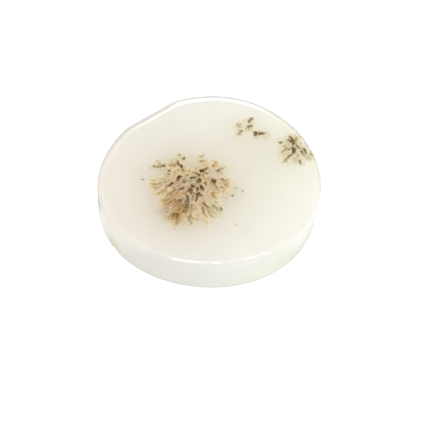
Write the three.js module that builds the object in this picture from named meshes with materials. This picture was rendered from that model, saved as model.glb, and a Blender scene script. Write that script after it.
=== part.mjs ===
// A polished slice of dendritic agate: a thick, nearly round disc of milky chalcedony, flat
// above and below, with one straight flat ground on its rim at the back left.
// Millimetres, +Z up. The origin is on the underside, in the middle of the slice's outline.
import * as THREE from "three";

// Driving dimensions
const THICKNESS = 5.8;
const MEAN_RADIUS = 15.6;

// Ground by hand, so the outline has three gentle corners where it stands out a little.
const CORNERS = 3;
const CORNER_RISE = 0.25;
const CORNER_BEARING = degrees(84);

// The straight flat on the rim: how far it is from the middle, which way it faces, and over what
// depth it runs into the round outline.
const FLAT_DISTANCE = 14.95;
const FLAT_BEARING = degrees(127.4);
const FLAT_BLEND = 0.17;

// The upper edge is a stretch of an ellipse that starts with a faint crease in the top face.
// It is tight along the front and rolls off wide at the back, where more was polished away.
const FRONT_EDGE_WIDTH = 0.55;
const FRONT_EDGE_DROP = 0.5;
const BACK_EDGE_WIDTH = 1.7;
const BACK_EDGE_DROP = 1.1;
const WIDEST_EDGE_BEARING = degrees(110);
const EDGE_TURN = degrees(78);

// The lower edge is a plain round, and the wall leans in towards the foot on the right.
const FOOT_ROUND = 0.8;
const LEAN_AT_FOOT = 0.75;
const LEAN_BEARING = degrees(5);

// Facets
const SEGMENTS = 144;
const EDGE_STEPS = 7;
const FOOT_STEPS = 5;

const STONE_COLOUR = 0xece8dc;

function degrees(angle) {
  return THREE.MathUtils.degToRad(angle);
}

// The lower of two distances, with a short smooth run from one to the other.
function smoothMin(a, b, blend) {
  const share = THREE.MathUtils.clamp(0.5 + (0.5 * (b - a)) / blend, 0, 1);
  return THREE.MathUtils.lerp(b, a, share) - blend * share * (1 - share);
}

// Distance from the middle to the widest point of the rim, at a bearing about +Z from +X.
function rimRadius(bearing) {
  const round = MEAN_RADIUS + CORNER_RISE * Math.cos(CORNERS * (bearing - CORNER_BEARING));
  const facing = Math.cos(bearing - FLAT_BEARING);
  if (facing <= 0) return round;
  return smoothMin(round, FLAT_DISTANCE / facing, FLAT_BLEND);
}

// 1 where the upper edge rolls off widest, falling to 0 on the far side of the slice.
function edgeRoll(bearing) {
  return (0.5 + 0.5 * Math.cos(bearing - WIDEST_EDGE_BEARING)) ** 1.5;
}

// How far the wall has leant in, at a bearing and a height.
function wallLean(bearing, height) {
  const side = Math.max(0, Math.cos(bearing - LEAN_BEARING)) ** 2;
  return LEAN_AT_FOOT * side * (1 - height / THICKNESS);
}

// A point of the lower edge: how far in from the rim, and how high.
function footPoint(turn) {
  return {
    inset: () => FOOT_ROUND * (1 - Math.sin(turn)),
    height: () => FOOT_ROUND * (1 - Math.cos(turn)),
  };
}

// A point of the upper edge, from the wall at turn 0 to the crease at EDGE_TURN.
function edgePoint(turn) {
  const inset = (1 - Math.cos(turn)) / (1 - Math.cos(EDGE_TURN));
  const drop = 1 - Math.sin(turn) / Math.sin(EDGE_TURN);
  const blend = THREE.MathUtils.lerp;
  return {
    inset: (roll) => inset * blend(FRONT_EDGE_WIDTH, BACK_EDGE_WIDTH, roll),
    height: (roll) => THICKNESS - drop * blend(FRONT_EDGE_DROP, BACK_EDGE_DROP, roll),
  };
}

// The section's edges, from the underside up to the top face.
function sectionEdges() {
  const points = [];
  for (let i = 0; i <= FOOT_STEPS; i++) {
    points.push(footPoint((Math.PI / 2) * (i / FOOT_STEPS)));
  }
  for (let i = 0; i <= EDGE_STEPS; i++) {
    points.push(edgePoint(EDGE_TURN * (i / EDGE_STEPS)));
  }
  return points;
}

// A lathed blank with one ring for each point of the section, and a middle point above and below.
// Ring n is at height n, so that the grinding below can tell the rings apart.
function roundBlank(ringCount) {
  const profile = [new THREE.Vector2(0, 0)];
  for (let ring = 1; ring <= ringCount; ring++) {
    profile.push(new THREE.Vector2(MEAN_RADIUS, ring));
  }
  profile.push(new THREE.Vector2(0, ringCount + 1));
  const geometry = new THREE.LatheGeometry(profile, SEGMENTS);
  geometry.rotateX(Math.PI / 2);
  return geometry;
}

// The slice: the blank's rings are drawn in or out to the ground outline and its edges.
function sliceGeometry() {
  const edges = sectionEdges();
  const geometry = roundBlank(edges.length);
  const position = geometry.getAttribute("position");
  for (let i = 0; i < position.count; i++) {
    const ring = Math.round(position.getZ(i));
    if (ring === 0 || ring > edges.length) {
      position.setXYZ(i, 0, 0, ring === 0 ? 0 : THICKNESS);
      continue;
    }
    const bearing = Math.atan2(position.getY(i), position.getX(i));
    const roll = edgeRoll(bearing);
    const height = edges[ring - 1].height(roll);
    const inset = edges[ring - 1].inset(roll) + wallLean(bearing, height);
    const radius = rimRadius(bearing) - inset;
    position.setXYZ(i, radius * Math.cos(bearing), radius * Math.sin(bearing), height);
  }
  geometry.computeBoundingBox();
  const middle = geometry.boundingBox.getCenter(new THREE.Vector3());
  geometry.translate(-middle.x, -middle.y, 0);
  geometry.computeVertexNormals();
  return geometry;
}

function agateSlice() {
  const polishedStone = new THREE.MeshStandardMaterial({
    color: STONE_COLOUR,
    roughness: 0.08,
    metalness: 0,
  });
  const slice = new THREE.Mesh(sliceGeometry(), polishedStone);
  slice.name = "agate_slice";
  return slice;
}

const specimen = new THREE.Group();
specimen.name = "dendritic_agate_specimen";
specimen.add(agateSlice());

export default specimen;
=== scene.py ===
"""A polished slice of dendritic agate: milky chalcedony with brown mineral dendrites grown inside it.

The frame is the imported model's, in metres with +Z up. Lengths are in millimetres, and MM turns them
into metres where a mesh, a material or the camera is made. The studio's lengths are in metres.
"""
import math

import bpy
import numpy as np
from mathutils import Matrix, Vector


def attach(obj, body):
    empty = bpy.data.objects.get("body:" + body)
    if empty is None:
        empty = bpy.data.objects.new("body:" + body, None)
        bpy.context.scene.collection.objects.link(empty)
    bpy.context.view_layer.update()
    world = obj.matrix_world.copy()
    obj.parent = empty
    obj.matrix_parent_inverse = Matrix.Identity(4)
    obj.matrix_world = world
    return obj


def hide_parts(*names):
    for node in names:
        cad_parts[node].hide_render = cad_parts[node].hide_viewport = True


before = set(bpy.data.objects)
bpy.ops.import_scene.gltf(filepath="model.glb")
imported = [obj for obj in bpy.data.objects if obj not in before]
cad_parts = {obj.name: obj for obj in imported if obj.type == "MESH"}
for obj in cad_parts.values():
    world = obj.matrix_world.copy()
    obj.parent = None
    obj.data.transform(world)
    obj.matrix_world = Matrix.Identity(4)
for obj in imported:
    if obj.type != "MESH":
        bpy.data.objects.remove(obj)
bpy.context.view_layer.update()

MM = 0.001
STONE_NODE = "agate_slice"

# The stone's own dimensions, as in the CAD source.
THICKNESS = 5.8
MEAN_RADIUS = 15.6
CORNERS = 3
CORNER_RISE = 0.25
CORNER_BEARING = math.radians(84)
FLAT_DISTANCE = 14.95
FLAT_BEARING = math.radians(127.4)
FLAT_BLEND = 0.17
FRONT_EDGE_WIDTH = 0.55
FRONT_EDGE_DROP = 0.5
BACK_EDGE_WIDTH = 1.7
BACK_EDGE_DROP = 1.1
WIDEST_EDGE_BEARING = math.radians(110)
EDGE_TURN = math.radians(78)
FOOT_ROUND = 0.8
LEAN_AT_FOOT = 0.75
LEAN_BEARING = math.radians(5)

# The flat is out of reach at a bearing that faces it less than this, and then counts as far off.
LEAST_FACING = 0.2
FAR_OFF = 1e3

# A small chip in the foot at the front left. It fades out this many foot rounds in from the rim.
CHIP_BEARING = math.radians(212.5)
CHIP_HEIGHT = 0.5
CHIP_HALF_WIDTH = 0.45
CHIP_HALF_HEIGHT = 0.55
CHIP_DEPTH = 0.2
CHIP_FADE = 1.5

# How finely the visible stone is divided. One more ring just inside the crease keeps it crisp.
SEGMENTS = 480
BASE_RINGS = 8
FOOT_STEPS = 10
WALL_STEPS = 12
EDGE_STEPS = 20
TOP_RINGS = 60
CREASE_RING = 0.04

# The visible stone is smaller than the CAD's by this much, because it is rounder than its facets.
POLISH_LOSS = 0.004
POLISHED = 1 - POLISH_LOSS / THICKNESS

# The dendrites stop this far under the polish, and this far from the rim and the underside. A path
# may start above the surface by the slack.
POLISH_DEPTH = 0.012
RIM_MARGIN = 0.3
SURFACE_SLACK = 0.02

# How much nearer to the camera a thing shows for each mm of depth, as the sight line bends.
SIGHT_SLOPE = 0.46

# Where the polish cuts through a dendrite: a stroke from x1, y1 to x2, y2, its half width, and
# its tone, from 0, pale ochre, to 1, dark brown.
MAIN_HEART = (-2.0, -0.6)
MAIN_TIPS = [
    (-4.2, 3.8, -4.1, 3.7, 0.14, 0.65), (-3.5, 3.1, -3.6, 3.2, 0.2, 0.85),
    (-1.2, 3.4, -0.9, 3.6, 0.13, 0.5), (-1.2, 2.6, -0.7, 2.7, 0.14, 0.65),
    (0.9, 2.5, 0.7, 1.8, 0.13, 0.5), (0.6, 1.8, 0.6, 1.7, 0.18, 0.7),
    (2.0, 1.4, 1.6, 1.2, 0.13, 0.6), (1.6, 1.2, 1.2, 0.7, 0.17, 0.7),
    (1.6, 0.7, 1.7, 0.4, 0.13, 0.4), (-7.8, 1.7, -7.6, 1.7, 0.17, 0.62),
    (-7.1, 2.5, -6.9, 2.1, 0.13, 0.45), (-6.7, 1.7, -6.1, 1.7, 0.21, 0.8),
    (-7.5, 1.3, -7.4, 1.5, 0.12, 0.45), (-4.2, 2.0, -3.7, 1.5, 0.2, 0.9),
    (-4.5, 2.6, -4.2, 2.0, 0.18, 0.8), (-5.0, 1.6, -4.8, 1.8, 0.17, 0.6),
    (-5.7, 1.0, -5.6, 0.9, 0.2, 0.68), (-5.6, 0.3, -5.8, 0.2, 0.19, 0.62),
    (-4.9, 0.7, -4.7, 0.7, 0.18, 0.58), (-3.8, 1.2, -3.7, 1.0, 0.17, 0.8),
    (-3.1, 0.2, -3.0, 0.1, 0.2, 0.72), (-2.4, 0.7, -1.8, 0.5, 0.13, 0.6),
    (-1.7, 0.4, -1.3, 0.0, 0.2, 0.95), (-1.2, 0.7, -0.8, 1.0, 0.3, 0.96),
    (-0.8, 1.0, -0.3, 1.2, 0.18, 0.75), (-0.4, 0.4, -0.3, 0.3, 0.17, 0.85),
    (-1.0, 0.1, -0.7, -0.1, 0.14, 0.45), (-2.7, -0.6, -2.1, -0.3, 0.18, 0.9),
    (-1.6, -0.8, -1.2, -1.2, 0.28, 0.95), (-4.1, -0.1, -4.4, -0.8, 0.24, 0.95),
    (-3.6, -0.8, -3.3, -1.3, 0.21, 0.7), (-5.1, -1.4, -5.7, -2.0, 0.2, 0.9),
    (-5.7, -2.0, -6.1, -2.3, 0.14, 0.6), (-4.9, -2.3, -4.8, -2.5, 0.14, 0.65),
    (-3.5, -2.3, -4.2, -2.6, 0.2, 0.9), (-2.4, -1.8, -2.3, -2.1, 0.25, 0.96),
    (-2.6, -2.4, -2.5, -3.1, 0.3, 0.86), (-1.7, -2.2, -1.6, -2.8, 0.18, 0.95),
    (-1.6, -3.1, -1.0, -3.6, 0.2, 0.9), (-1.6, -3.3, -1.8, -4.5, 0.17, 0.85),
    (-1.0, -2.0, -0.8, -2.7, 0.22, 0.95), (-0.5, -1.2, -0.4, -1.7, 0.14, 0.85),
    (0.5, -1.0, 0.7, -1.0, 0.34, 0.95), (1.7, -0.6, 2.0, -0.9, 0.17, 0.75),
    (2.0, -0.9, 2.5, -0.8, 0.12, 0.45), (0.8, -1.6, 1.1, -2.2, 0.17, 0.55),
    (1.7, -2.0, 2.2, -2.7, 0.13, 0.5), (0.7, -3.0, 0.4, -3.2, 0.13, 0.6),
    (0.4, -3.3, 0.5, -3.6, 0.17, 0.65), (0.5, -3.6, 1.0, -4.1, 0.13, 0.6),
    (0.9, -3.1, 1.4, -3.2, 0.12, 0.4), (-3.0, -3.6, -3.0, -4.3, 0.2, 0.9),
    (-3.0, -4.3, -2.8, -5.0, 0.18, 0.8), (-3.1, -4.4, -3.4, -5.3, 0.17, 0.75),
    (0.7, -4.7, 1.1, -5.0, 0.13, 0.4), (-0.8, -5.0, -0.1, -5.9, 0.18, 0.75),
    (-0.9, -5.6, -0.8, -6.8, 0.14, 0.65), (-0.8, -6.8, -0.3, -7.4, 0.13, 0.5),
    (-0.1, -6.4, 0.1, -7.1, 0.13, 0.5), (0.1, -7.1, 0.7, -7.5, 0.13, 0.5),
    (0.5, -5.3, 1.0, -5.9, 0.14, 0.55), (1.0, -5.9, 1.3, -6.3, 0.13, 0.5),
    (1.5, -6.0, 1.8, -6.2, 0.19, 0.65), (-2.4, -5.2, -2.5, -6.7, 0.13, 0.6),
    (-2.0, -5.3, -1.8, -6.3, 0.13, 0.4), (-2.6, -7.1, -2.9, -8.0, 0.17, 0.6),
    (-2.6, -7.1, -2.0, -8.0, 0.13, 0.55), (-7.7, -0.7, -7.6, -0.8, 0.13, 0.45),
    (-7.2, 1.7, -7.1, 1.7, 0.17, 0.68), (-5.2, 1.8, -5.0, 2.4, 0.27, 0.45),
    (-4.3, 1.2, -4.2, 1.1, 0.15, 0.42), (-3.7, 0.4, -3.5, 0.5, 0.14, 0.42),
    (-2.9, 0.9, -2.7, 0.8, 0.14, 0.45), (-2.0, 1.3, -1.9, 1.2, 0.13, 0.42),
    (-0.3, 1.3, -0.2, 1.6, 0.17, 0.62), (-6.3, -0.7, -6.7, -0.4, 0.13, 0.42),
    (-2.2, -0.4, -1.9, -0.3, 0.18, 0.85), (-1.6, -1.2, -1.4, -0.8, 0.24, 0.9),
    (-8.0, -1.5, -7.4, -1.6, 0.13, 0.52), (-7.3, -1.6, -6.6, -1.3, 0.13, 0.48),
    (-8.0, -2.2, -7.5, -2.1, 0.12, 0.42), (-7.3, -3.4, -7.0, -3.1, 0.13, 0.55),
    (-6.8, -3.0, -6.1, -2.5, 0.12, 0.5), (-6.6, -0.5, -6.0, -0.9, 0.12, 0.45),
    (-7.1, -1.1, -6.4, -1.9, 0.08, 0.4), (-5.9, -3.6, -5.2, -2.9, 0.14, 0.6),
    (-5.2, -2.9, -4.6, -2.5, 0.14, 0.66), (2.8, -1.3, 2.4, -2.0, 0.15, 0.45),
    (1.6, -2.0, 2.0, -2.5, 0.14, 0.52), (0.4, -3.2, 0.7, -3.4, 0.24, 0.5),
    (-1.4, -2.0, -1.3, -1.6, 0.13, 0.5), (-1.9, -1.5, -1.7, -1.2, 0.14, 0.6),
]
# Plumes that run on under the surface: x, y and depth at each end, the stem's half width, how
# far its twigs reach, and its tone.
MAIN_PLUMES = [
    (-5.2, -1.3, 0.05, -7.1, -0.9, 0.25, 0.1, 0.3, 0.5),
    (-5.7, -1.6, 0.1, -8.0, -1.6, 0.3, 0.11, 0.3, 0.55),
    (-6.0, -2.2, 0.1, -7.9, -2.1, 0.35, 0.1, 0.3, 0.45),
    (-6.3, -2.4, 0.15, -7.6, -2.9, 0.4, 0.1, 0.3, 0.45),
    (-5.9, -2.4, 0.15, -7.1, -3.2, 0.4, 0.12, 0.3, 0.55),
    (-5.2, -0.6, 0.05, -6.7, -0.6, 0.2, 0.1, 0.3, 0.45),
    (-2.4, -6.0, 0.1, -2.6, -7.6, 0.3, 0.15, 0.4, 0.65),
    (-2.5, -7.3, 0.2, -2.4, -8.6, 0.6, 0.18, 0.4, 0.85),
    (-1.8, -5.9, 0.2, -1.7, -7.8, 0.5, 0.1, 0.4, 0.35),
    (-0.9, -5.9, 0.05, -0.5, -7.4, 0.25, 0.2, 0.4, 0.7),
    (-0.4, -5.5, 0.05, 0.3, -7.0, 0.3, 0.18, 0.4, 0.6),
    (-0.7, -6.9, 0.2, -0.2, -8.7, 0.5, 0.12, 0.35, 0.55),
    (0.0, -6.0, 0.1, 0.9, -6.9, 0.3, 0.14, 0.4, 0.35),
    (0.5, -5.3, 0.15, 1.5, -6.5, 0.35, 0.14, 0.4, 0.3),
    (1.4, -1.6, 0.1, 2.8, -2.1, 0.35, 0.11, 0.4, 0.5),
    (1.4, -2.5, 0.15, 2.6, -3.4, 0.4, 0.11, 0.4, 0.45),
    (1.8, -0.8, 0.1, 3.1, -1.3, 0.35, 0.11, 0.35, 0.5),
    (0.7, -3.7, 0.05, 1.3, -4.5, 0.3, 0.11, 0.4, 0.55),
    (-4.5, 2.1, 0.05, -5.0, 3.0, 0.3, 0.2, 0.45, 0.5),
    (-4.7, 1.7, 0.1, -5.2, 1.5, 0.3, 0.18, 0.4, 0.45),
    (-6.9, 2.0, 0.1, -7.2, 2.6, 0.25, 0.1, 0.3, 0.35),
]
# The broad feathers at its lower left, which are evener in colour than the rest.
MAIN_FEATHERS = [
    (-4.6, -4.4, 0.1, -6.3, -5.3, 0.35, 0.28, 0.4, 0.7),
    (-4.9, -4.3, 0.15, -6.5, -4.5, 0.4, 0.22, 0.4, 0.58),
    (-3.3, -5.1, 0.04, -4.6, -7.2, 0.2, 0.36, 0.9, 0.76),
    (-3.6, -5.9, 0.05, -4.9, -7.7, 0.3, 0.31, 0.6, 0.74),
    (-3.9, -6.4, 0.1, -4.4, -8.3, 0.4, 0.28, 0.5, 0.7),
    (-4.3, -6.9, 0.15, -4.6, -8.8, 0.6, 0.24, 0.4, 0.74),
    (-4.7, -6.6, 0.2, -5.5, -7.9, 0.6, 0.24, 0.4, 0.76),
    (-3.1, -5.1, 0.04, -3.5, -7.3, 0.2, 0.28, 0.4, 0.8),
    (-3.0, -5.2, 0.05, -3.2, -6.6, 0.15, 0.24, 0.4, 0.78),
    (-3.3, -5.4, 0.05, -5.1, -6.7, 0.15, 0.26, 0.6, 0.66),
    (-3.4, -5.7, 0.05, -4.6, -6.5, 0.1, 0.26, 0.5, 0.7),
]
# Plumes of the same dendrite that are rustier, and those that lie deeper and blur in the milk.
MAIN_RUSTY_PLUMES = [
    (-3.5, -4.1, 0.04, -4.8, -5.3, 0.15, 0.26, 0.4, 0.9),
    (-3.9, -4.3, 0.04, -4.9, -5.2, 0.15, 0.24, 0.4, 0.85),
    (-0.9, 1.0, 0.1, -0.5, 1.6, 0.3, 0.16, 0.35, 0.45),
]
MAIN_DEEP_PLUMES = [
    (-2.9, -2.6, 0.1, -5.6, -3.6, 0.4, 0.3, 0.5, 0.65),
    (-3.2, -3.0, 0.3, -5.2, -3.2, 0.6, 0.24, 0.4, 0.6),
    (-2.5, -2.6, 0.08, -2.5, -3.7, 0.25, 0.32, 0.4, 0.7),
    (-1.4, -3.5, 0.15, -0.9, -5.0, 0.4, 0.24, 0.4, 0.6),
    (-2.0, -3.7, 0.5, -2.1, -5.0, 0.9, 0.14, 0.4, 0.5),
    (-0.9, -0.3, 0.4, -0.2, -0.1, 0.7, 0.14, 0.4, 0.5),
    (-4.1, -1.9, 0.3, -5.4, -2.6, 0.6, 0.2, 0.4, 0.5),
    (-5.4, -5.7, 1.1, -6.8, -6.4, 1.6, 0.18, 0.5, 1.0),
    (-5.7, -6.4, 1.3, -7.3, -6.7, 1.9, 0.16, 0.5, 1.0),
    (-5.1, -6.9, 1.3, -6.3, -8.0, 1.9, 0.16, 0.5, 1.0),
    (-4.6, -8.3, 1.2, -4.7, -9.7, 1.7, 0.16, 0.3, 1.0),
    (-2.4, -8.1, 1.4, -2.4, -9.4, 2.0, 0.16, 0.3, 0.9),
    (-2.9, -1.9, 0.15, -3.5, -2.5, 0.4, 0.2, 0.3, 0.5),
    (-4.6, -1.0, 0.1, -5.6, -1.9, 0.3, 0.18, 0.3, 0.4),
]
# Specks that stand alone: x, y, depth, radius and tone.
MAIN_DOTS = [
    (3.2, -3.7, 0.4, 0.22, 0.85),
    (2.4, -4.1, 0.9, 0.2, 0.7),
    (3.7, -2.4, 1.0, 0.2, 0.8),
    (4.6, -2.9, 0.9, 0.2, 0.85),
    (-9.3, -0.7, 0.2, 0.16, 0.95),
    (3.6, -8.9, 0.9, 0.16, 0.8),
    (9.6, -13.4, 4.0, 0.14, 0.7),
]

UPPER_RIGHT_HEART = (5.6, 9.0)
UPPER_RIGHT_TIPS = [
    (6.1, 10.6, 5.7, 10.0, 0.17, 0.71), (5.4, 10.1, 5.5, 10.2, 0.1, 0.36),
    (4.3, 9.6, 4.7, 9.4, 0.09, 0.36), (3.9, 9.2, 4.3, 9.3, 0.1, 0.56),
    (4.1, 8.8, 4.5, 9.0, 0.1, 0.46), (5.6, 9.1, 6.1, 9.1, 0.16, 0.84),
    (5.6, 8.8, 5.5, 8.4, 0.1, 0.46), (4.7, 8.3, 4.1, 7.6, 0.12, 0.61),
    (6.6, 7.9, 6.5, 7.3, 0.25, 0.84), (7.2, 7.8, 7.7, 7.7, 0.18, 0.84),
    (7.7, 7.9, 8.1, 7.6, 0.12, 0.46),
]
UPPER_RIGHT_PLUMES = [
    (6.6, 7.5, 0.2, 6.6, 6.2, 1.4, 0.1, 0.4, 0.6),
    (7.6, 7.6, 0.2, 8.3, 6.9, 1.0, 0.09, 0.35, 0.5),
    (4.4, 8.0, 0.2, 3.8, 7.0, 0.9, 0.09, 0.35, 0.4),
]

RIGHT_EDGE_HEART = (11.9, 5.2)
RIGHT_EDGE_TIPS = [
    (11.9, 5.7, 11.8, 6.4, 0.18, 0.81), (11.8, 6.2, 11.5, 7.2, 0.21, 0.9),
    (11.7, 6.1, 11.1, 6.6, 0.18, 0.8), (12.0, 6.0, 12.4, 7.0, 0.17, 0.7),
    (10.2, 6.2, 10.1, 6.0, 0.19, 0.75), (10.4, 5.2, 10.8, 5.6, 0.08, 0.5),
    (11.2, 4.8, 11.1, 4.7, 0.13, 0.9), (10.2, 4.2, 10.9, 4.9, 0.1, 0.6),
    (11.9, 4.9, 11.8, 3.9, 0.25, 0.9), (11.6, 3.8, 10.7, 2.9, 0.13, 0.7),
    (10.7, 2.9, 10.7, 2.4, 0.18, 0.55), (10.4, 3.5, 10.7, 3.7, 0.08, 0.4),
    (12.4, 5.5, 12.8, 4.9, 0.13, 0.75), (12.9, 5.8, 13.0, 5.9, 0.11, 0.4),
    (13.4, 4.9, 13.7, 4.0, 0.14, 0.84), (13.0, 4.4, 13.2, 3.7, 0.13, 0.75),
    (12.5, 3.7, 12.3, 3.1, 0.11, 0.5), (12.7, 2.7, 12.9, 2.1, 0.13, 0.72),
]
RIGHT_EDGE_PLUMES = [
    (12.8, 2.9, 0.2, 13.0, 1.9, 0.5, 0.12, 0.2, 0.55),
    (13.4, 3.6, 0.6, 14.4, 2.8, 0.9, 0.18, 0.4, 0.85),
    (13.6, 4.4, 0.6, 14.4, 3.6, 0.9, 0.16, 0.3, 0.85),
    (12.3, 6.2, 0.5, 12.8, 7.0, 0.9, 0.16, 0.2, 0.85),
    (11.2, 3.2, 0.2, 10.6, 2.2, 0.6, 0.09, 0.2, 0.35),
    (12.0, 3.4, 0.3, 12.1, 2.4, 0.9, 0.1, 0.2, 0.55),
]

# What fills a dendrite from below: half its length and breadth, how many plumes, and their tone.
MAIN_FILLING_HEART = (-2.2, -1.4)
MAIN_FILLING = (3.2, 2.6, 22, 0.25)
RIGHT_EDGE_FILLING = (1.0, 1.2, 6, 0.2)
FILLING_DEPTH = (0.5, 0.9)
FILLING_RADIUS = 0.1
FILLING_TWIG = 0.45

# A closed tube: its lumps and the reach of its ends, in radii, and the clear stone over it, in polish
# depths. With less than UNCUT_COVER the polish has cut it, and it lies flat, within CUT_DEPTH.
TUBE_LUMPS = (0.82, 1.18)
TUBE_CAP = 0.6
CLEAR_COVER = 3.0
UNCUT_COVER = 2
CUT_DEPTH = 0.08

# How a plume branches: the step along its stem, its twigs and theirs, and the sides of each. Twigs
# are thinner, shorter and paler than what they grow on, and the first is the longest.
STEPS = (0.2, 0.16, 0.14)
SIDES = (8, 6, 4)
TWIG_CHANCE = 0.8
TWIG_LEAST_ANGLE = math.radians(15)
TWIG_MOST_ANGLE = math.radians(48)
TWIG_THINNING = 0.62
TWIG_SHORTENING = 0.55
TWIG_PALING = 0.42
FEATHER_PALING = 0.8
FIRST_TWIG = 1.25
TWIG_DWINDLING = 0.65

# No stem runs this way, so the side of any stem can be found from it.
OFF_AXIS = (0.3, 0.2, 1.0)

# A stem's sway is a share of its length, and the wander of its points one of its radius. It tapers
# and fades to a knob at its tip.
STEM_SWAY = 0.08
STEM_WANDER = 0.35
STEM_TAPER = 0.45
STEM_KNOB = 1.4
STEM_FADING = 0.3

# A plume is a fan of stems this far apart at their tips, with twigs this long. The outer stems are
# shorter, thinner and paler.
FAN_GAP = 0.4
FAN_TWIG = 0.3
FAN_SHORTENING = 0.2
FAN_THINNING = 0.35
FAN_FADING = 0.4

# A stroke that the polish cut open, with this many points for each half width of its length.
STROKE_DEPTH = 0.03
STROKE_POINTS = 1.3
STROKE_WANDER = 0.3
STROKE_TAPER = 0.2
STROKE_FADING = 0.25
STROKE_SIDES = 10

# The lobes round each point of a stroke: their length and width in its half widths, their share of
# its tone, and the clear stone over them. They dip as they run out.
LOBES = [(1.0, 0.5, 0.9, 1.4), (1.0, 0.45, 0.85, 1.4), (1.8, 0.3, 0.5, 2.2)]
LOBE_RADII = np.array([1, 0.8, 1.1, 0.6])
LOBE_DIP = 0.15
LOBE_SIDES = 6

# The undergrowth is plumes that run down from these shares of a stroke's length. Their start, drop,
# radius and twigs are in its half widths, and their tone is a share of its.
UNDER_ROOTS = (0.0, 0.5, 1.0)
UNDER_START = 0.8
UNDER_DROP = (4, 7)
UNDER_RADIUS = 0.5
UNDER_TWIG = 3
UNDER_PALING = 0.15

# The pale bed under a stroke or plume is short thick twigs, some at every step. Nothing that ends
# deeper than DEEPEST_BED has one.
BED_STEP = 0.4
BED_COUNT = 5
BED_RADIUS = 0.18
BED_POINTS = 4
BED_SIDES = 7
BED_LEAST_DEPTH = 0.12
BED_MOST_DEPTH = 0.35
DEEPEST_BED = 1.2
STROKE_BED_REACH = 0.5
STROKE_BED_LIFT = 0.13

# The bed is darker round the heart, darker in the feathers and paler in the small dendrites.
HEART_TONE = 0.18
HEART_REACH = 3.2
FEATHER_BED = 0.12
SMALL_BED = -0.12
HEART_SIZE = 0.5

# A speck runs down from its place on this path, in its radii.
SPECK_PATH = np.array([[0, 0, 0], [0.3, 0.5, -0.8], [0.1, 0.9, -1.9]])
SPECK_RADII = np.array([0.7, 1.0, 0.6])
SPECK_SIDES = 8

# The iron stain is balls along the strokes and plumes, at STAIN_DEPTH or deeper, fused and smoothed.
# It also spreads over places: their middle, half their length and breadth, and how many balls.
STAIN_REACH = 0.55
STAIN_DEPTH = 0.45
STAIN_STEP = 0.35
STAIN_VOXEL = 0.12
STAIN_SMOOTHING = 4
STAIN_COVER = 0.03
STAIN_SEED = 21
STAIN_SPREADS = [(MAIN_HEART, 4.2, 3.6, 60), (RIGHT_EDGE_HEART, 1.2, 1.2, 12)]
BALL_SIDES = 8
BALL_LEVELS = 6

# The stain's colour, and how strongly it absorbs, for each metre.
STAIN_COLOUR = (1.0, 0.92, 0.55, 1)
STAIN_DENSITY = 170

# The stone is clear silica, and milky with tiny pores that scatter light mostly onwards. It
# absorbs a little blue.
STONE_IOR = 1.54
STONE_ROUGHNESS = 0.03
CLEARNESS = 1.0
MILK_DENSITY = 800
MILK_ONWARDS = 0.3
CREAM_COLOUR = (0.6, 0.5, 0.0, 1)
CREAM_DENSITY = 1.5

# Its colour, from left to right over the top face and round the wall. The wall's is greener, with painted
# shade that darkens it towards the left and painted light that brightens it at the right.
TOP_TINTS = [(0.0, (0.95, 0.885, 0.81)), (0.45, (0.94, 0.9, 0.84)), (1.0, (0.9, 0.89, 0.81))]
WALL_TINTS_AND_PAINTED_LIGHT = [
    (0.0, (0.92, 0.9, 0.82)),
    (0.2, (0.86, 0.86, 0.82)),
    (0.45, (0.88, 0.9, 0.86)),
    (0.85, (0.99, 1.0, 0.92)),
]

# Painted shade that darkens the rolled edge's glow, by how far the surface faces up. The front has less of
# it.
EDGE_PAINTED_SHADE = [(0.0, (1, 1, 1)), (0.4, (0.86, 0.86, 0.92)), (0.9, (0.84, 0.84, 0.86)), (1.0, (1, 1, 1))]
FRONT_EDGE_SHADE_SHARE = 0.7

# Faint clouds in it: how many to a metre, their detail and their tint.
CLOUD_SCALE = 150
CLOUD_DETAIL = 3
CLOUD_TINTS = [(0.3, (0.975, 0.97, 0.965)), (0.7, (1, 1, 1))]

# A faint green cast on the wall at the front left, painted where light comes through the stone: its middle,
# its reach and its colour.
GREEN_LIGHT_MIDDLE = (-13.2, -8.4, 1.6)
GREEN_LIGHT_REACH = 2.4
GREEN_LIGHT_TINT = (0.76, 0.8, 0.55, 1)

# Iron and manganese oxide: colours at four tones, from the palest twigs to the darkest stems.
OXIDE_TONES = (0.0, 0.2, 0.55, 1.0)
OCHRE = [(1.0, 0.97, 0.84), (1.0, 0.91, 0.7), (0.73, 0.54, 0.27), (0.24, 0.09, 0.012)]
RUST = [(1.0, 0.95, 0.83), (1.0, 0.86, 0.66), (0.76, 0.48, 0.26), (0.25, 0.085, 0.02)]
OLIVE = [(1.0, 0.985, 0.9), (0.98, 0.93, 0.78), (0.67, 0.54, 0.33), (0.22, 0.095, 0.02)]
KHAKI = [(1.0, 0.985, 0.89), (0.98, 0.94, 0.8), (0.72, 0.6, 0.38), (0.2, 0.115, 0.045)]
FEATHER = [(1.0, 0.96, 0.8), (1.0, 0.9, 0.62), (0.7, 0.48, 0.17), (0.24, 0.1, 0.01)]
OXIDE_ROUGHNESS = 0.45

# Two of them mix in patches: how many patches to a metre, and their detail.
OXIDE_PATCH_SCALE = 500
OXIDE_PATCH_DETAIL = 2

# Camera: the photograph's, far off and square to a line 50 degrees above the table.
CAMERA_ELEVATION = math.radians(50)
CAMERA_DISTANCE = 300
CAMERA_LENS = 180.25
CAMERA_SENSOR = 36
AIM_RIGHT, AIM_DOWN = 0.8, 5.51
TO_CAMERA = Vector((0, -math.cos(CAMERA_ELEVATION), math.sin(CAMERA_ELEVATION)))

# The floors, in metres. The one that the stone mirrors glows more past these distances in mm, at its
# left and right, and in front.
FLOOR_REACH = 2
FLOOR_GAP = 2e-5
SIDE_GLOW_START = 12
SIDE_GLOW_END = 16
SIDE_GLOW_FRONT = -3
SIDE_GLOW_BACK = 1

ROOM_RADIANCE = 1.12

# What lights a thing, apart from what it mirrors.
LIGHTING = ("diffuse", "transmission", "volume_scatter")

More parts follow.
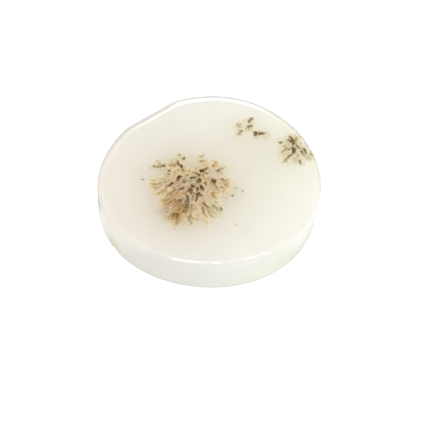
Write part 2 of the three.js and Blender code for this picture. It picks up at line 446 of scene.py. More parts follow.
# Soft boxes: azimuth and elevation in degrees, width and height in metres, and radiance.
# Only the one at the right also lights what is dull.
LAMP_DISTANCE = 0.6
SOFTBOXES = {
    "back_softbox": (1, 24, 0.22, 0.32, 3.0),
    "back_left_softbox": (-10.5, 29, 0.08, 0.14, 1.3),
    "right_softbox": (85, 10, 0.6, 0.2, 2.0, False),
    "crease_softbox": (171, 78, 0.52, 0.25, 1.5),
}

# Small lamps that the front edge mirrors as points: where on it, in degrees to the right of its
# front, their radiance and their height in metres. It faces up there by the tilt, in degrees.
CREASE_LAMPS = [
    (-15, 42, 0.22), (-9, 22, 0.22), (2, 32, 0.22),
    (18, 30, 0.1), (26, 34, 0.1), (37, 12, 0.1), (42, 10, 0.1),
]
CREASE_TILT = 58
CREASE_LAMP_WIDTH = 0.03

# Dark cards that the stone mirrors: azimuth, elevation, distance, width and height.
CARD_GREY = 0.1
DARK_CARDS = {
    "dark_card": (0, 54, 0.4, 0.4, 0.17),
    "low_dark_card": (0, 3, 0.7, 1.4, 0.12),
    "left_dark_card": (-20, 8, 0.7, 0.27, 0.3),
    "right_dark_card": (24, 8, 0.7, 0.34, 0.3),
}

# How often light may turn, in all and in each way. Fewer turns would darken the milk.
MOST_TURNS = 256
MOST_TURNS_EACH_WAY = 128


def rim_radius(bearing):
    """Distance from the middle to the widest point of the rim, in mm."""
    round_rim = MEAN_RADIUS + CORNER_RISE * np.cos(CORNERS * (bearing - CORNER_BEARING))
    facing = np.cos(bearing - FLAT_BEARING)
    flat_rim = np.where(facing > LEAST_FACING, FLAT_DISTANCE / np.maximum(facing, LEAST_FACING), FAR_OFF)
    share = np.clip(0.5 + 0.5 * (flat_rim - round_rim) / FLAT_BLEND, 0, 1)
    return flat_rim * (1 - share) + round_rim * share - FLAT_BLEND * share * (1 - share)


def edge_roll(bearing):
    """1 where the upper edge rolls off widest, 0 on the far side."""
    return (0.5 + 0.5 * np.cos(bearing - WIDEST_EDGE_BEARING)) ** 1.5


def wall_lean(bearing, height):
    """How far the wall has leant in, in mm."""
    side = np.maximum(0, np.cos(bearing - LEAN_BEARING)) ** 2
    return LEAN_AT_FOOT * side * (1 - height / THICKNESS)


def edge_size(bearing):
    """The upper edge's width and drop, in mm."""
    roll = edge_roll(bearing)
    width = FRONT_EDGE_WIDTH + (BACK_EDGE_WIDTH - FRONT_EDGE_WIDTH) * roll
    drop = FRONT_EDGE_DROP + (BACK_EDGE_DROP - FRONT_EDGE_DROP) * roll
    return width, drop


def stone_rings(bearing):
    """The stone's rings from the underside to the top, each as its radii and heights, in mm."""
    rim = rim_radius(bearing)
    edge_width, edge_drop = edge_size(bearing)
    level = np.ones(len(bearing))
    base_edge = rim - FOOT_ROUND - wall_lean(bearing, 0)
    rings = [(base_edge * i / BASE_RINGS, 0 * level) for i in range(1, BASE_RINGS)]
    for turn in np.linspace(0, math.pi / 2, FOOT_STEPS + 1):
        height = FOOT_ROUND * (1 - math.cos(turn)) * level
        rings.append((rim - FOOT_ROUND * (1 - math.sin(turn)) - wall_lean(bearing, height), height))
    wall_top = THICKNESS - edge_drop
    for share in np.linspace(0, 1, WALL_STEPS + 1)[1:-1]:
        height = FOOT_ROUND + (wall_top - FOOT_ROUND) * share
        rings.append((rim - wall_lean(bearing, height), height))
    for turn in np.linspace(0, EDGE_TURN, EDGE_STEPS + 1):
        height = THICKNESS - edge_drop * (1 - math.sin(turn) / math.sin(EDGE_TURN))
        inset = edge_width * (1 - math.cos(turn)) / (1 - math.cos(EDGE_TURN))
        rings.append((rim - inset - wall_lean(bearing, height), height))
    top_edge = rings[-1][0]
    rings.append((top_edge - CREASE_RING, THICKNESS * level))
    rings += [(top_edge * i / TOP_RINGS, THICKNESS * level) for i in range(TOP_RINGS - 1, 0, -1)]
    return rings


def box_middle(bearing, rings):
    """The middle of the stone's box, which the CAD has as its origin, in mm."""
    x = np.concatenate([radius * np.cos(bearing) for radius, _ in rings])
    y = np.concatenate([radius * np.sin(bearing) for radius, _ in rings])
    return np.array([(x.max() + x.min()) / 2, (y.max() + y.min()) / 2])


BEARINGS = np.linspace(0, 2 * math.pi, SEGMENTS, endpoint=False)
MIDDLE = box_middle(BEARINGS, stone_rings(BEARINGS))


def add_to_scene(name, data):
    """A new object with this mesh, lamp or camera."""
    piece = bpy.data.objects.new(name, data)
    bpy.context.scene.collection.objects.link(piece)
    return piece


def make_mesh(name, points, faces):
    """A smooth mesh object from points in mm."""
    mesh = bpy.data.meshes.new(name)
    mesh.from_pydata((np.asarray(points) * MM).tolist(), [], faces)
    mesh.validate()
    mesh.shade_smooth()
    return add_to_scene(name, mesh)


def chip(radius, bearing, height):
    """How deep the chip is at a place on the wall or foot, in mm."""
    aside = (bearing - CHIP_BEARING) * radius / CHIP_HALF_WIDTH
    above = (height - CHIP_HEIGHT) / CHIP_HALF_HEIGHT
    on_wall = np.clip((radius - MEAN_RADIUS) / FOOT_ROUND + CHIP_FADE, 0, 1)
    return CHIP_DEPTH * np.exp(-(aside**2) - above**2) * on_wall


def stone():
    """The visible stone: the CAD's form, divided finely, with the chip."""
    rings = stone_rings(BEARINGS)
    points = [(-MIDDLE[0], -MIDDLE[1], 0.0)]
    for radius, height in rings:
        radius = radius - POLISH_LOSS - chip(radius, BEARINGS, height)
        x = radius * np.cos(BEARINGS) - MIDDLE[0]
        y = radius * np.sin(BEARINGS) - MIDDLE[1]
        points += zip(x, y, height * POLISHED)
    points.append((-MIDDLE[0], -MIDDLE[1], THICKNESS * POLISHED))
    faces = []
    last = 1 + (len(rings) - 1) * SEGMENTS
    for s in range(SEGMENTS):
        t = (s + 1) % SEGMENTS
        faces.append((0, 1 + t, 1 + s))
        for low in range(1, last, SEGMENTS):
            high = low + SEGMENTS
            faces.append((low + s, low + t, high + t, high + s))
        faces.append((last + s, last + t, len(points) - 1))
    return make_mesh("polished_slice", points, faces)


def surface_height(x, y):
    """How high the polished surface is over a place, in mm, and a low number past the rim."""
    bearing = np.arctan2(y + MIDDLE[1], x + MIDDLE[0])
    reach = np.hypot(x + MIDDLE[0], y + MIDDLE[1])
    width, drop = edge_size(bearing)
    into_edge = (reach - (rim_radius(bearing) - width)) / width
    turn = np.arccos(np.clip(1 - (1 - into_edge) * (1 - math.cos(EDGE_TURN)), -1, 1))
    rolled = THICKNESS - drop * (1 - np.sin(turn) / math.sin(EDGE_TURN))
    return np.where(into_edge <= 0, THICKNESS, np.where(into_edge < 1, rolled, -1.0))


def kept_inside(points, cover, most=None):
    """The points in mm, with those that would leave the stone moved back under its surface.

    cover is how far under the surface they stay, and most, where it is given, how far they may be.
    """
    middle = np.array([*MIDDLE, 0.0])
    points = points + middle
    reach = np.hypot(points[:, 0], points[:, 1])
    limit = rim_radius(np.arctan2(points[:, 1], points[:, 0])) - RIM_MARGIN
    points[:, :2] *= np.minimum(1, limit / np.maximum(reach, RIM_MARGIN))[:, None]
    points -= middle
    top = surface_height(points[:, 0], points[:, 1]) - cover
    points[:, 2] = np.clip(points[:, 2], RIM_MARGIN if most is None else top - most, top)
    return points


def below(x, y, depth):
    """The point at a depth that shows at x, y on the top face from the photograph's side."""
    return np.array([x, y + SIGHT_SLOPE * depth, THICKNESS - depth])


class Tubes:
    """Closed tubes, gathered for one mesh. Each point has a tone."""

    def __init__(self):
        self.points = []
        self.faces = []
        self.tones = []
        self.count = 0

    def add(self, points, tones, sides):
        """Adds a tube: the point at its start, its rings and the point at its end."""
        first = self.count
        last = first + len(points) - 1
        for i in range(sides):
            j = (i + 1) % sides
            self.faces.append((first, first + 1 + j, first + 1 + i))
            for ring in range(first + 1, last - sides, sides):
                self.faces.append((ring + i, ring + j, ring + sides + j, ring + sides + i))
            self.faces.append((last - sides + i, last - sides + j, last))
        self.points.append(points)
        self.tones.append(np.concatenate([tones[:1], np.repeat(tones, sides), tones[-1:]]))
        self.count += len(points)

    def piece(self, name):
        """The mesh object, with the tones as an attribute that its material reads."""
        piece = make_mesh(name, np.vstack(self.points), self.faces)
        tone = piece.data.attributes.new("tone", "FLOAT", "POINT")
        tone.data.foreach_set("value", np.concatenate(self.tones))
        return piece


class Growth:
    """Grows one dendrite of closed tubes inside the stone."""

    def __init__(self, seed, heart, paling, bed_tone, undergrowth_apart):
        self.rng = np.random.default_rng(seed)
        self.paling = paling
        self.bed_tone = bed_tone
        self.heart = np.array(heart)
        self.top = Tubes()
        self.undergrowth = Tubes() if undergrowth_apart else self.top
        self.growing = self.top

    def tube(self, path, radii, tone, sides, cover=CLEAR_COVER):
        """A closed tube along a path. tone is one for all or one a step."""
        rng = self.rng
        along = np.gradient(path, axis=0)
        along /= np.linalg.norm(along, axis=1, keepdims=True)
        across = np.cross(along, rng.normal(size=3))
        across /= np.linalg.norm(across, axis=1, keepdims=True)
        third = np.cross(along, across)
        turns = np.linspace(0, 2 * math.pi, sides, endpoint=False)[None, :, None]
        lumpy = radii[:, None] * rng.uniform(*TUBE_LUMPS, (len(path), sides))
        around = across[:, None] * np.cos(turns) + third[:, None] * np.sin(turns)
        rings = path[:, None] + lumpy[..., None] * around
        start = path[0] - along[0] * radii[0] * TUBE_CAP
        end = path[-1] + along[-1] * radii[-1] * TUBE_CAP
        points = np.vstack([start, rings.reshape(-1, 3), end])
        clear = POLISH_DEPTH * cover * rng.uniform(0.9, 1.2)
        points = kept_inside(points, clear, CUT_DEPTH if cover < UNCUT_COVER else None)
        self.growing.add(points, np.broadcast_to(tone, len(path)), sides)

    def inside(self, path):
        """How many points at the start of a path lie in the stone."""
        top = surface_height(path[:, 0], path[:, 1])
        fits = (path[:, 2] <= top + SURFACE_SLACK) & (path[:, 2] > RIM_MARGIN) & (top > 0)
        return len(path) if fits.all() else int(np.argmin(fits))

    def stem(self, start, end, radius, reach, tone, order=0):
        """One stem, the twigs on its sides, and theirs."""
        rng = self.rng
        length = np.linalg.norm(end - start)
        steps = max(len(STEPS) - order, round(length / STEPS[order]))
        share = np.linspace(0, 1, steps + 1)
        sway = rng.normal(0, STEM_SWAY * length, 3) * np.sin(math.pi * share)[:, None]
        path = start + (end - start) * share[:, None] + sway
        path[1:-1] += rng.normal(0, STEM_WANDER * radius, (steps - 1, 3))
        radii = radius * (1 - STEM_TAPER * share) * rng.uniform(0.7, 1.3, steps + 1)
        radii[-1] *= STEM_KNOB
        fits = self.inside(path)
        if fits < 2:
            return
        tones = tone * (1.1 - STEM_FADING * share) * rng.uniform(0.8, 1.15, steps + 1)
        self.tube(path[:fits], radii[:fits], tones[:fits], SIDES[order])
        if order + 1 == len(STEPS):
            return
        along = (end - start) / length
        turn = rng.uniform(0, 2 * math.pi)
        for i in range(1, fits):
            for _ in range(2):
                turn += math.pi + rng.uniform(-0.7, 0.7)
                if rng.random() < TWIG_CHANCE:
                    self.twig(path[i], along, turn, radii[i], reach, share[i], tone, order + 1)

    def twig(self, start, along, turn, radius, reach, share, tone, order):
        """One twig off a stem. The first ones are the longest, so a stem widens like a broom."""
        rng = self.rng
        across = np.cross(along, OFF_AXIS)
        across /= np.linalg.norm(across)
        third = np.cross(along, across)
        outward = across * math.cos(turn) + third * math.sin(turn)
        angle = rng.uniform(TWIG_LEAST_ANGLE, TWIG_MOST_ANGLE)
        way = along * math.cos(angle) + outward * math.sin(angle)
        length = reach * (FIRST_TWIG - TWIG_DWINDLING * share) * rng.uniform(0.6, 1.2)
        thickness = radius * TWIG_THINNING
        self.stem(start, start + way * length, thickness, reach * TWIG_SHORTENING, tone * self.paling, order)

    def cut_tip(self, x1, y1, x2, y2, half_width, tone):
        """A stroke that the polish cut open, what runs down from it, and its bed."""
        start = below(x1, y1, STROKE_DEPTH)
        end = below(x2, y2, STROKE_DEPTH)
        if np.linalg.norm(start[:2] - self.heart) > np.linalg.norm(end[:2] - self.heart):
            start, end = end, start
        self.stroke(start, end, half_width, tone)
        self.growing = self.undergrowth
        self.run_down(start, end, half_width, tone)
        self.growing = self.top
        lift = np.array([0, 0, STROKE_BED_LIFT])
        self.bed(start + lift, end + lift, STROKE_BED_REACH)

    def stroke(self, start, end, half_width, tone):
        """A knotty stroke, widest and darkest at its start, and the lobes round its points."""
        rng = self.rng
        steps = max(2, round(STROKE_POINTS * np.linalg.norm(end - start) / half_width))
        share = np.linspace(0, 1, steps + 1)
        path = start + (end - start) * share[:, None]
        path[:, :2] += rng.normal(0, STROKE_WANDER * half_width, (steps + 1, 2))
        tones = tone * (1.1 - STROKE_FADING * share) * rng.uniform(0.85, 1.1, steps + 1)
        radii = half_width * (1.1 - STROKE_TAPER * share) * rng.uniform(0.65, 1.15, steps + 1)
        self.tube(path, radii, tones, STROKE_SIDES, cover=1)
        for root, root_tone in zip(path, tones):
            for length, width, paling, cover in LOBES:
                turn = rng.uniform(0, 2 * math.pi)
                reach = half_width * length * rng.uniform(0.5, 1.3)
                tip = root + np.array([math.cos(turn) * reach, math.sin(turn) * reach, -LOBE_DIP * reach])
                spine = np.linspace(root, tip, len(LOBE_RADII))
                spine[1:3, :2] += rng.normal(0, 0.2 * half_width, (2, 2))
                self.tube(spine, half_width * width * LOBE_RADII, root_tone * paling, LOBE_SIDES, cover)

    def run_down(self, start, end, half_width, tone):
        """The plumes that run down from a stroke, away from the heart."""
        rng = self.rng
        outward = start[:2] - self.heart
        outward /= np.linalg.norm(outward) + HEART_SIZE
        under = half_width * np.array([0, UNDER_START * SIGHT_SLOPE, -UNDER_START])
        for share in UNDER_ROOTS:
            root = start + (end - start) * share + under
            drop = half_width * rng.uniform(*UNDER_DROP)
            drift = outward * rng.uniform(0.0, 0.25) + rng.normal(0, 0.12, 2)
            tip = root + drop * np.array([drift[0], drift[1] + SIGHT_SLOPE, -1])
            radius = half_width * UNDER_RADIUS
            reach = UNDER_TWIG * half_width
            self.stem(root, tip, radius, reach, tone * UNDER_PALING, order=1)

    def plume(self, x1, y1, depth1, x2, y2, depth2, half_width, reach, tone):
        """A feather: stems that fan out from one root, palest at its sides."""
        rng = self.rng
        start, end = below(x1, y1, depth1), below(x2, y2, depth2)
        along = end - start
        across = np.array([-along[1], along[0], 0.0])
        across /= np.linalg.norm(across) + 1e-6
        sides = round(reach / FAN_GAP)
        for i in range(-sides, sides + 1):
            lean = i / max(sides, 1)
            tip = start + along * (1 - FAN_SHORTENING * lean**2) * rng.uniform(0.85, 1.05)
            tip += across * lean * reach * rng.uniform(0.8, 1.2)
            thickness = half_width * (1 - FAN_THINNING * abs(lean))
            self.stem(start, tip, thickness, FAN_TWIG, tone * (1 - FAN_FADING * abs(lean)))
        if depth2 < DEEPEST_BED:
            self.bed(start, end, reach)

    def bed(self, start, end, reach):
        """Short thick pale twigs just under a stroke or plume, which close what shows between them."""
        rng = self.rng
        steps = 1 + round(np.linalg.norm(end - start) / BED_STEP)
        for share in np.linspace(0, 1, steps + 1):
            for _ in range(BED_COUNT):
                turn = rng.uniform(0, 2 * math.pi)
                run = reach * math.sqrt(rng.uniform(0, 1))
                root = start + (end - start) * share
                root += np.array([math.cos(turn) * run, math.sin(turn) * run, 0])
                sink = rng.uniform(BED_LEAST_DEPTH, BED_MOST_DEPTH)
                root += np.array([0, SIGHT_SLOPE * sink, -sink])
                outward = root[:2] - self.heart
                away = np.linalg.norm(outward)
                outward *= rng.uniform(0.15, 0.4) / (away + HEART_SIZE)
                tip = root + np.array([outward[0], outward[1], -rng.uniform(0.1, 0.3)])
                tone = self.bed_tone + rng.uniform(0.03, 0.1) + HEART_TONE * math.exp(-away / HEART_REACH)
                spine = np.linspace(root, tip, BED_POINTS)
                if self.inside(spine) == BED_POINTS:
                    self.tube(spine, BED_RADIUS * rng.uniform(0.6, 1.2, BED_POINTS), tone, BED_SIDES)

    def dot(self, x, y, depth, radius, tone):
        """A speck that stands alone."""
        self.tube(below(x, y, depth) + SPECK_PATH * radius, radius * SPECK_RADII, tone, SPECK_SIDES)

    def filling(self, half_length, half_breadth, count, tone):
        """Plumes that fan down and outwards under a dendrite, deeper than its beds."""
        rng = self.rng
        for _ in range(count):
            turn = rng.uniform(0, 2 * math.pi)
            share = math.sqrt(rng.uniform(0.02, 1))
            way = np.array([math.cos(turn), math.sin(turn)])
            place = self.heart + way * share * np.array([half_length, half_breadth])
            start = below(*place, rng.uniform(*FILLING_DEPTH))
            run = way * rng.uniform(0.3, 1.0) * (0.4 + share)
            tip = start + np.array([run[0], run[1], -rng.uniform(0.3, 0.7)])
            self.stem(start, tip, FILLING_RADIUS, FILLING_TWIG, tone * (1.2 - share), order=1)


def dendrite(name, seed, heart, tips=(), plumes=(), dots=(), filling=None, paling=TWIG_PALING,
             bed_tone=0.0, undergrowth=None):
    """One dendrite, with its cut tips, its plumes, the specks beside it and what fills it.

    undergrowth names a piece of its own for the plumes that run down from the tips.
    """
    growth = Growth(seed, heart, paling, bed_tone, undergrowth is not None)
    for tip in tips:
        growth.cut_tip(*tip)
    for plume in plumes:
        growth.plume(*plume)
    for dot in dots:
        growth.dot(*dot)
    if filling:
        growth.filling(*filling)
    pieces = [growth.top.piece(name)]
    if undergrowth:
        pieces.append(growth.undergrowth.piece(undergrowth))
    return pieces


def unit_ball():
    """The points of a ball of radius 1, from its foot up."""
    points = [(0, 0, -1)]
    for level in range(BALL_LEVELS - 1, 0, -1):
        polar = math.pi * level / BALL_LEVELS
        out, up = math.sin(polar), math.cos(polar)
        for side in range(BALL_SIDES):
            turn = 2 * math.pi * side / BALL_SIDES
            points.append((out * math.cos(turn), out * math.sin(turn), up))
    return np.array([*points, (0, 0, 1)])


def stain_runs(tips, plumes, spreads, rng):
    """Where the stain lies, as the two ends of each run of it."""
    runs = [(below(x1, y1, STAIN_DEPTH), below(x2, y2, STAIN_DEPTH)) for x1, y1, x2, y2, _, _ in tips]
    for x1, y1, depth1, x2, y2, depth2, _, _, _ in plumes:
        if depth2 < DEEPEST_BED:
            start = below(x1, y1, max(depth1, STAIN_DEPTH))
            runs.append((start, below(x2, y2, max(depth2, STAIN_DEPTH))))
    for heart, half_length, half_breadth, count in spreads:
        for _ in range(count):
            turn = rng.uniform(0, 2 * math.pi)
            share = math.sqrt(rng.uniform(0, 1))
            x = heart[0] + math.cos(turn) * share * half_length
            y = heart[1] + math.sin(turn) * share * half_breadth
            runs.append([below(x, y, STAIN_DEPTH)] * 2)
    return runs


def iron_stain(tips, plumes, spreads):
    """The pale yellow haze of iron that the chalcedony holds round the dendrites, as one closed body."""
    rng = np.random.default_rng(STAIN_SEED)
    ball = unit_ball()
    balls = Tubes()
    for start, end in stain_runs(tips, plumes, spreads, rng):
        steps = 1 + round(np.linalg.norm(end - start) / STAIN_STEP)
        for centre in np.linspace(start, end, steps + 1):
            radius = STAIN_REACH * rng.uniform(0.8, 1.15)
            balls.add(centre + radius * ball, np.zeros(BALL_LEVELS - 1), BALL_SIDES)
    rough = balls.piece("iron_stain_rough")
    remesh = rough.modifiers.new("one_body", "REMESH")
    remesh.mode = "VOXEL"
    remesh.voxel_size = STAIN_VOXEL * MM
    smooth = rough.modifiers.new("soft", "SMOOTH")
    smooth.iterations = STAIN_SMOOTHING
    body = bpy.data.meshes.new_from_object(rough.evaluated_get(bpy.context.evaluated_depsgraph_get()))
    bpy.data.objects.remove(rough)
    spots = np.empty(len(body.vertices) * 3)
    body.vertices.foreach_get("co", spots)
    spots = kept_inside(spots.reshape(-1, 3) / MM, STAIN_COVER) * MM
    body.vertices.foreach_set("co", spots.ravel())
    body.name = "iron_stain"
    return add_to_scene("iron_stain", body)


class Look:
    """A new material, its surface and its other nodes."""

    def __init__(self, name):
        self.material = bpy.data.materials.new(name)
        self.material.use_nodes = True
        self.nodes = self.material.node_tree.nodes
        self.surface = self.nodes["Principled BSDF"]

    def feed(self, node, inputs):
        """Sets numbers and colours on a node's inputs, and links what other nodes give."""
        for socket, value in inputs.items():
            if isinstance(value, (int, float, tuple)):
                node.inputs[socket].default_value = value
            else:
                self.material.node_tree.links.new(value, node.inputs[socket])

    def fill(self, volume):
        """Fills what has this material with a volume."""
        self.feed(self.nodes["Material Output"], {"Volume": volume})

    def node(self, kind, inputs, **settings):
        """A new node, with its settings and what feeds it."""
        node = self.nodes.new("ShaderNode" + kind)
        for name, value in settings.items():
            setattr(node, name, value)
        self.feed(node, inputs)
        return node

    def place(self):
        """Where a point of the piece is, in metres."""
        return self.node("TexCoord", {}).outputs["Object"]

    def parts(self, vector):
        """A vector's X, Y and Z."""
        return self.node("SeparateXYZ", {"Vector": vector}).outputs

    def ramp(self, source, stops):
        """Colours along a value from 0 to 1. stops are (value, colour)."""
        ramp = self.node("ValToRGB", {"Fac": source})
        elements = ramp.color_ramp.elements
        while len(elements) < len(stops):
            elements.new(0.5)
        for element, (value, colour) in zip(elements, stops):
            element.position = value
            element.color = (*colour, 1)
        return ramp.outputs["Color"]

    def spread(self, source, low, high, low_result=0.0, high_result=1.0):
        """A value spread smoothly from low..high to low_result..high_result."""
        inputs = {"Value": source, "From Min": low, "From Max": high}
        inputs.update({"To Min": low_result, "To Max": high_result})
        return self.node("MapRange", inputs, interpolation_type="SMOOTHSTEP").outputs["Result"]

    def maths(self, operation, *values):
        """One sum of up to three values."""
        return self.node("Math", dict(enumerate(values)), operation=operation).outputs["Value"]

    def mix(self, kind, share, first, second):
        """The second colour mixed into the first, by a share."""
        inputs = {0: share, 6: first, 7: second}
        return self.node("Mix", inputs, data_type="RGBA", blend_type=kind).outputs[2]

    def noise(self, place, scale, detail):
        """Soft noise in space, from 0 to 1."""
        return self.node("TexNoise", {"Vector": place, "Scale": scale, "Detail": detail}).outputs["Fac"]

    def absorption(self, colour, density):
        """A volume that absorbs light."""
        return self.node("VolumeAbsorption", {"Color": colour, "Density": density}).outputs["Volume"]


def stain_material():
    """A colour that absorbs light, with no surface of its own."""
    look = Look("iron_stained_chalcedony")
    look.nodes.remove(look.surface)
    look.fill(look.absorption(STAIN_COLOUR, STAIN_DENSITY))
    return look.material


def painted_green_light(look, place, body):
    """Greens the stone's colour softly round one place on the wall, as painted light coming through the
    stone.
    """
    middle = tuple(value * MM for value in GREEN_LIGHT_MIDDLE)
    away = look.node("VectorMath", {0: place, 1: middle}, operation="DISTANCE").outputs["Value"]
    share = look.spread(away, 0, GREEN_LIGHT_REACH * MM, 1, 0)
    return look.mix("MULTIPLY", share, body, GREEN_LIGHT_TINT)


def stone_colour(look):
    """Warm on top and greener on the wall, with painted shade towards the wall's left and on the rolled
    edge, painted light at the wall's right, a painted green cast at the front left, and fine clouds.
    """
    coordinates = look.node("TexCoord", {}).outputs
    place = coordinates["Object"]
    facing = look.parts(coordinates["Normal"])
    across = look.maths("MULTIPLY_ADD", look.parts(place)["X"], 0.5 / (MEAN_RADIUS * MM), 0.5)
    on_top = look.spread(facing["Z"], 0.2, 0.95)
    # The wall's tints hold painted shade towards its left and painted light at its right.
    body = look.mix("MIX", on_top, look.ramp(across, WALL_TINTS_AND_PAINTED_LIGHT), look.ramp(across, TOP_TINTS))
    # Painted shade on the rolled edge, with less of it at the front.
    edge_shade_share = look.spread(facing["Y"], -0.1, 0.3, FRONT_EDGE_SHADE_SHARE, 1.0)
    edge_shaded = look.mix("MULTIPLY", edge_shade_share, body, look.ramp(facing["Z"], EDGE_PAINTED_SHADE))
    # Painted green light where light comes through the wall at the front left.
    green_lit = painted_green_light(look, place, edge_shaded)
    clouds = look.ramp(look.noise(place, CLOUD_SCALE, CLOUD_DETAIL), CLOUD_TINTS)
    return look.mix("MULTIPLY", 1.0, green_lit, clouds)


def stone_material():
    """Milky chalcedony under a clear polish."""
    look = Look("milky_chalcedony")
    look.feed(look.surface, {
        "IOR": STONE_IOR,
        "Roughness": STONE_ROUGHNESS,
        "Transmission Weight": CLEARNESS,
        "Base Color": stone_colour(look),
    })
    milk = {"Color": (1.0, 1.0, 1.0, 1), "Density": MILK_DENSITY, "Anisotropy": MILK_ONWARDS}
    scatter = look.node("VolumeScatter", milk).outputs["Volume"]
    cream = look.absorption(CREAM_COLOUR, CREAM_DENSITY)
    look.fill(look.node("AddShader", {0: scatter, 1: cream}).outputs["Shader"])
    return look.material


def dendrite_material(name, colours, other_colours):
    """Dull oxide, in patches of one row of colours and another. A point's tone says how dark it is."""
    look = Look(name)
    tone = look.node("Attribute", {}, attribute_name="tone").outputs["Fac"]
    patches = look.noise(look.place(), OXIDE_PATCH_SCALE, OXIDE_PATCH_DETAIL)
    share = look.spread(patches, 0.4, 0.6)
    one, other = (look.ramp(tone, list(zip(OXIDE_TONES, row))) for row in (colours, other_colours))
    colour = look.mix("MIX", share, one, other)
    look.feed(look.surface, {"Roughness": OXIDE_ROUGHNESS, "Base Color": colour})
    return look.material


def camera():
    """The photograph's camera."""
    up = Vector((0, math.sin(CAMERA_ELEVATION), math.cos(CAMERA_ELEVATION)))
    top = Vector((0, 0, THICKNESS))
    eye = (top + TO_CAMERA * CAMERA_DISTANCE) * MM
    aim = (top + Vector((AIM_RIGHT, 0, 0)) - up * AIM_DOWN) * MM
    data = bpy.data.cameras.new("camera")
    data.sensor_width = CAMERA_SENSOR
    data.lens = CAMERA_LENS
    data.clip_start, data.clip_end = 0.01, 10
    piece = add_to_scene("camera", data)
    piece.location = eye
    piece.rotation_mode = "QUATERNION"
    piece.rotation_quaternion = (aim - eye).to_track_quat("-Z", "Y")
    bpy.context.scene.camera = piece


def hide_from(piece, *rays):
    """Hides a lamp or a piece of the stage from some kinds of rays."""
    for ray in rays:
        setattr(piece, f"visible_{ray}", False)


def stage_plane(name, corners, grey):
    """A plain dull plane of the stage, and its look."""
    mesh = bpy.data.meshes.new(name)
    mesh.from_pydata([tuple(corner) for corner in corners], [], [(0, 1, 2, 3)])
    piece = add_to_scene(name, mesh)
    look = Look(name)
    look.feed(look.surface, {"Base Color": (grey, grey, grey, 1), "Specular IOR Level": 0.0})
    mesh.materials.append(look.material)
    return piece, look


def floor(name, level, grey, glow):
    """A wide plain floor that also glows, as a lit white table does. Each level is one gap lower."""
    height = -level * FLOOR_GAP
    corners = [(x * FLOOR_REACH, y * FLOOR_REACH, height) for x, y in ((-1, -1), (1, -1), (1, 1), (-1, 1))]
    piece, look = stage_plane(name, corners, grey)
    glowing = {"Roughness": 0.9, "Emission Color": (1, 1, 1, 1), "Emission Strength": glow}
    look.feed(look.surface, glowing)
    return piece, look


def side_glow(look):
    """More glow to the left and right of the stone and in front, so that its sides look bright."""
    parts = look.parts(look.place())
    aside = look.maths("ABSOLUTE", parts["X"])
    glow = look.spread(aside, SIDE_GLOW_START * MM, SIDE_GLOW_END * MM, 0.15, 0.8)
    ahead = look.spread(parts["Y"], SIDE_GLOW_FRONT * MM, SIDE_GLOW_BACK * MM, 1.0, 0.2)
    return look.maths("MULTIPLY", glow, ahead)


def floors():
    """The camera sees an overexposed white floor, another lights the stone, and it mirrors a grey one."""
    white, _ = floor("white_floor", 1, 0.35, 0.75)
    hide_from(white, "glossy", "shadow", *LIGHTING)
    lighting, _ = floor("lighting_floor", 2, 0.35, 0.6)
    hide_from(lighting, "camera", "glossy")
    mirrored_floor, look = floor("mirrored_floor", 3, 0.1, 0.15)
    look.feed(look.surface, {"Emission Strength": side_glow(look)})
    hide_from(mirrored_floor, "camera", "shadow", *LIGHTING)


def towards(azimuth, elevation):
    """The way to an azimuth, clockwise from +Y, and an elevation, both in degrees."""
    a, e = math.radians(azimuth), math.radians(elevation)
    return Vector((math.sin(a) * math.cos(e), math.cos(a) * math.cos(e), math.sin(e)))


def softbox(name, azimuth, elevation, width, height, radiance, shine_only=True):
    """A soft area light that faces the stone. Its power is worked out from the radiance it shows."""
    direction = towards(azimuth, elevation)
    data = bpy.data.lights.new(name, "AREA")
    data.shape = "RECTANGLE"
    data.size, data.size_y = width, height
    data.energy = radiance * math.pi * width * height
    piece = add_to_scene(name, data)
    piece.location = direction * LAMP_DISTANCE
    piece.rotation_mode = "QUATERNION"
    piece.rotation_quaternion = direction.to_track_quat("Z", "Y")
    hide_from(piece, "camera")
    if shine_only:
        hide_from(piece, *LIGHTING)


def mirrored(bearing):
    """Azimuth and elevation, in degrees, of what the edge mirrors at a bearing from its front."""
    normal = towards(180 - bearing, CREASE_TILT)
    way = 2 * normal.dot(TO_CAMERA) * normal - TO_CAMERA
    return math.degrees(math.atan2(way.x, way.y)), math.degrees(math.asin(way.z))


def dark_card(name, azimuth, elevation, distance, width, height):
    """A dark card behind the stone, which the stone mirrors and nothing else sees."""
    middle = towards(azimuth, elevation) * distance
    side = towards(azimuth + 90, 0) * width / 2
    rise = towards(azimuth, elevation + 90) * height / 2
    corners = [middle - side - rise, middle + side - rise, middle + side + rise, middle - side + rise]
    piece, _ = stage_plane(name, corners, CARD_GREY)
    hide_from(piece, "camera", "shadow", *LIGHTING)


def studio():
    """A white room with soft boxes, the lamps for the edge's points of light, and dark cards."""
    world = bpy.data.worlds.new("white_room")
    world.use_nodes = True
    walls = world.node_tree.nodes["Background"].inputs
    walls["Color"].default_value = (1, 1, 1, 1)
    walls["Strength"].default_value = ROOM_RADIANCE
    bpy.context.scene.world = world
    for name, box in SOFTBOXES.items():
        softbox(name, *box)
    for bearing, radiance, height in CREASE_LAMPS:
        softbox("crease_lamp", *mirrored(bearing), CREASE_LAMP_WIDTH, height, radiance)
    for name, place in DARK_CARDS.items():
        dark_card(name, *place)
    bpy.context.scene.view_settings.view_transform = "Standard"


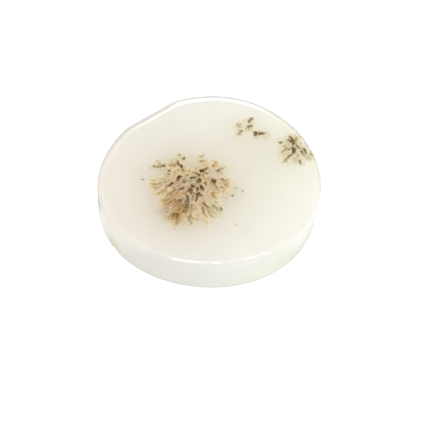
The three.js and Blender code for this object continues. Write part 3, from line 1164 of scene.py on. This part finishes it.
def light_paths():
    """Light is followed as far as it wanders in the milky stone, and through its polish unblurred."""
    cycles = bpy.context.scene.cycles
    cycles.blur_glossy = 0
    cycles.max_bounces = MOST_TURNS
    for way in ("diffuse", "volume", "transmission", "glossy"):
        setattr(cycles, f"{way}_bounces", MOST_TURNS_EACH_WAY)


camera()
floors()
studio()
light_paths()

slice_piece = stone()
slice_piece.data.materials.append(stone_material())
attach(slice_piece, "root")
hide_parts(STONE_NODE)

brown = dendrite_material("brown_dendrite", OCHRE, OLIVE)
rusty = dendrite_material("rusty_dendrite", RUST, RUST)
olive = dendrite_material("olive_dendrite", KHAKI, OLIVE)
ochre = dendrite_material("ochre_dendrite", FEATHER, FEATHER)
for pieces, oxide in (
    (dendrite("main_dendrite_tips", 11, MAIN_HEART, tips=MAIN_TIPS,
              undergrowth="main_dendrite_undergrowth"), brown),
    (dendrite("main_dendrite_plumes", 12, MAIN_HEART, plumes=MAIN_PLUMES), brown),
    (dendrite("main_dendrite_feathers", 18, MAIN_HEART, plumes=MAIN_FEATHERS, paling=FEATHER_PALING,
              bed_tone=FEATHER_BED), ochre),
    (dendrite("loose_specks", 17, MAIN_HEART, dots=MAIN_DOTS), olive),
    (dendrite("main_dendrite_rusty_plumes", 16, MAIN_HEART, plumes=MAIN_RUSTY_PLUMES), rusty),
    (dendrite("main_dendrite_depths", 13, MAIN_FILLING_HEART, plumes=MAIN_DEEP_PLUMES,
              filling=MAIN_FILLING), rusty),
    (dendrite("upper_right_dendrite", 14, UPPER_RIGHT_HEART, UPPER_RIGHT_TIPS, UPPER_RIGHT_PLUMES,
              bed_tone=SMALL_BED), olive),
    (dendrite("right_edge_dendrite", 15, RIGHT_EDGE_HEART, RIGHT_EDGE_TIPS, RIGHT_EDGE_PLUMES,
              filling=RIGHT_EDGE_FILLING, bed_tone=SMALL_BED), olive),
):
    for piece in pieces:
        piece.data.materials.append(oxide)
        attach(piece, "root")

stain = iron_stain(
    MAIN_TIPS + UPPER_RIGHT_TIPS + RIGHT_EDGE_TIPS,
    MAIN_PLUMES + MAIN_RUSTY_PLUMES + UPPER_RIGHT_PLUMES + RIGHT_EDGE_PLUMES,
    STAIN_SPREADS,
)
stain.data.materials.append(stain_material())
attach(stain, "root")
